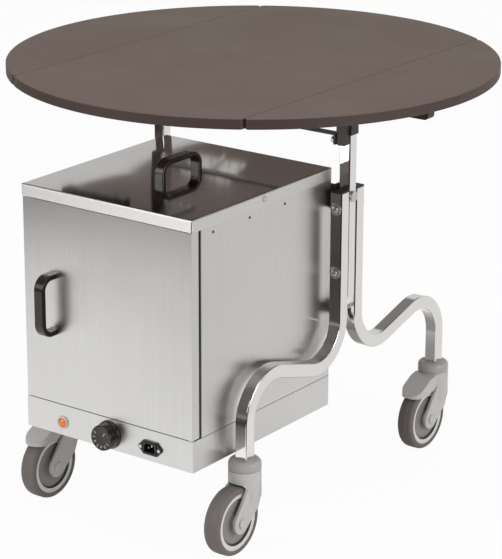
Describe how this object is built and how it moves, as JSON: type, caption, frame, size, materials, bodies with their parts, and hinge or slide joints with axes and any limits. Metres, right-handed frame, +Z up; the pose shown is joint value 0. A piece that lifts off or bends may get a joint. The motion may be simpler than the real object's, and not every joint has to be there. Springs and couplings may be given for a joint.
{
  "type": "room service table",
  "caption": "Round drop-leaf room service table on a chromed tube frame with castors, carrying a heated steel box with door, handles and controls.",
  "frame": {"origin": "on the floor under the middle of the round top", "axes": "+Z up, +Y towards the back, +X to the right as seen from the hot box's door, which faces -Y"},
  "size_m": [0.9, 0.9155, 0.802],
  "materials": {
    "chrome": "polished chromed tube",
    "black_steel": "satin black paint",
    "bright_fixing": "zinc-plated, satin",
    "table_board": "dark brown laminate, satin",
    "box_steel": "stainless, brushed vertically",
    "cover_steel": "stainless, bright",
    "liner_steel": "stainless, plain",
    "black_plastic": "glossy black",
    "matt_black": "matt black",
    "rubber_seal": "matt",
    "caster_plastic": "light grey, satin",
    "wheel_plastic": "mid grey, satin",
    "tyre_rubber": "grey rubber",
    "socket_steel": "bright plated",
    "orange_lens": "glossy orange",
    "pale_plastic": "off-white"
  },
  "bodies": {
    "frame": {"upright_frame": "chrome", "leg_front_right": "chrome", "leg_rear_right": "chrome", "leg_front_left": "chrome", "leg_rear_left": "chrome", "leg_caps": "matt_black", "leg_bolts": "bright_fixing", "hanger_pins": "bright_fixing", "hanger_hooks": "black_steel", "rear_buffers": "rubber_seal", "top_brackets": "black_steel", "cross_brace": "black_steel", "bracket_bolts": "bright_fixing", "centre_panel": "table_board", "panel_screws": "bright_fixing", "panel_hinges": "bright_fixing", "hinge_pins": "bright_fixing", "cabinet_shell": "box_steel", "cabinet_liner": "liner_steel", "cabinet_cover": "cover_steel", "side_fixings": "bright_fixing", "cover_handle": "black_plastic", "wire_shelf": "chrome", "plinth": "box_steel", "lamp_bezel": "pale_plastic", "lamp_lens": "orange_lens", "inlet_body": "matt_black", "inlet_pins": "bright_fixing", "door_pins": "bright_fixing", "caster_sockets": "socket_steel"},
    "door": {"door_panel": "box_steel", "door_liner": "liner_steel", "door_seal": "rubber_seal", "door_handle": "black_plastic"},
    "flap_right": {"leaf_right": "table_board", "leaf_hinges_right": "bright_fixing", "leaf_rail_right": "black_steel"},
    "flap_left": {"leaf_left": "table_board", "leaf_hinges_left": "bright_fixing", "leaf_rail_left": "black_steel"},
    "dial": {"knob": "black_plastic"},
    "swivel_front_right": {"fork_front_right": "caster_plastic", "axle_front_right": "bright_fixing"},
    "roller_front_right": {"wheel_front_right": "wheel_plastic", "tyre_front_right": "tyre_rubber"},
    "swivel_rear_right": {"fork_rear_right": "caster_plastic", "axle_rear_right": "bright_fixing"},
    "roller_rear_right": {"wheel_rear_right": "wheel_plastic", "tyre_rear_right": "tyre_rubber"},
    "swivel_front_left": {"fork_front_left": "caster_plastic", "axle_front_left": "bright_fixing"},
    "roller_front_left": {"wheel_front_left": "wheel_plastic", "tyre_front_left": "tyre_rubber"},
    "swivel_rear_left": {"fork_rear_left": "caster_plastic", "axle_rear_left": "bright_fixing"},
    "roller_rear_left": {"wheel_rear_left": "wheel_plastic", "tyre_rear_left": "tyre_rubber"},
    "brake_front_left": {"pedal_front_left": "caster_plastic"},
    "brake_rear_right": {"pedal_rear_right": "caster_plastic"}
  },
  "joints": [
    {"name": "door_hinge", "type": "hinge", "parent": "frame", "child": "door", "pos_m": [0.181, -0.421, 0.4185], "axis": [0, 0, 1], "range_deg": [0, 120]},
    {"name": "leaf_fold_right", "type": "hinge", "parent": "frame", "child": "flap_right", "pos_m": [0.251, 0, 0.779], "axis": [0, 1, 0], "range_deg": [0, 90]},
    {"name": "leaf_fold_left", "type": "hinge", "parent": "frame", "child": "flap_left", "pos_m": [-0.251, 0, 0.779], "axis": [0, -1, 0], "range_deg": [0, 90]},
    {"name": "knob_turn", "type": "hinge", "parent": "frame", "child": "dial", "pos_m": [0.0025, -0.428, 0.1995], "axis": [0, 1, 0], "range_deg": [0, 270]},
    {"name": "caster_swivel_front_right", "type": "hinge", "parent": "frame", "child": "swivel_front_right", "pos_m": [0.2125, -0.3095, 0.14], "axis": [0, 0, 1], "continuous": true},
    {"name": "wheel_roll_front_right", "type": "hinge", "parent": "swivel_front_right", "child": "roller_front_right", "pos_m": [0.2125, -0.3495, 0.0625], "axis": [1, 0, 0], "continuous": true},
    {"name": "caster_swivel_rear_right", "type": "hinge", "parent": "frame", "child": "swivel_rear_right", "pos_m": [0.2125, 0.3095, 0.14], "axis": [0, 0, 1], "continuous": true},
    {"name": "wheel_roll_rear_right", "type": "hinge", "parent": "swivel_rear_right", "child": "roller_rear_right", "pos_m": [0.2125, 0.2695, 0.0625], "axis": [1, 0, 0], "continuous": true},
    {"name": "caster_swivel_front_left", "type": "hinge", "parent": "frame", "child": "swivel_front_left", "pos_m": [-0.2125, -0.3095, 0.14], "axis": [0, 0, 1], "continuous": true},
    {"name": "wheel_roll_front_left", "type": "hinge", "parent": "swivel_front_left", "child": "roller_front_left", "pos_m": [-0.2125, -0.3495, 0.0625], "axis": [1, 0, 0], "continuous": true},
    {"name": "caster_swivel_rear_left", "type": "hinge", "parent": "frame", "child": "swivel_rear_left", "pos_m": [-0.2125, 0.3095, 0.14], "axis": [0, 0, 1], "continuous": true},
    {"name": "wheel_roll_rear_left", "type": "hinge", "parent": "swivel_rear_left", "child": "roller_rear_left", "pos_m": [-0.2125, 0.2695, 0.0625], "axis": [1, 0, 0], "continuous": true},
    {"name": "brake_press_front_left", "type": "hinge", "parent": "swivel_front_left", "child": "brake_front_left", "pos_m": [-0.2125, -0.3445, 0.136], "axis": [1, 0, 0], "range_deg": [0, 4]},
    {"name": "brake_press_rear_right", "type": "hinge", "parent": "swivel_rear_right", "child": "brake_rear_right", "pos_m": [0.2125, 0.2745, 0.136], "axis": [1, 0, 0], "range_deg": [0, 4]}
  ]
}
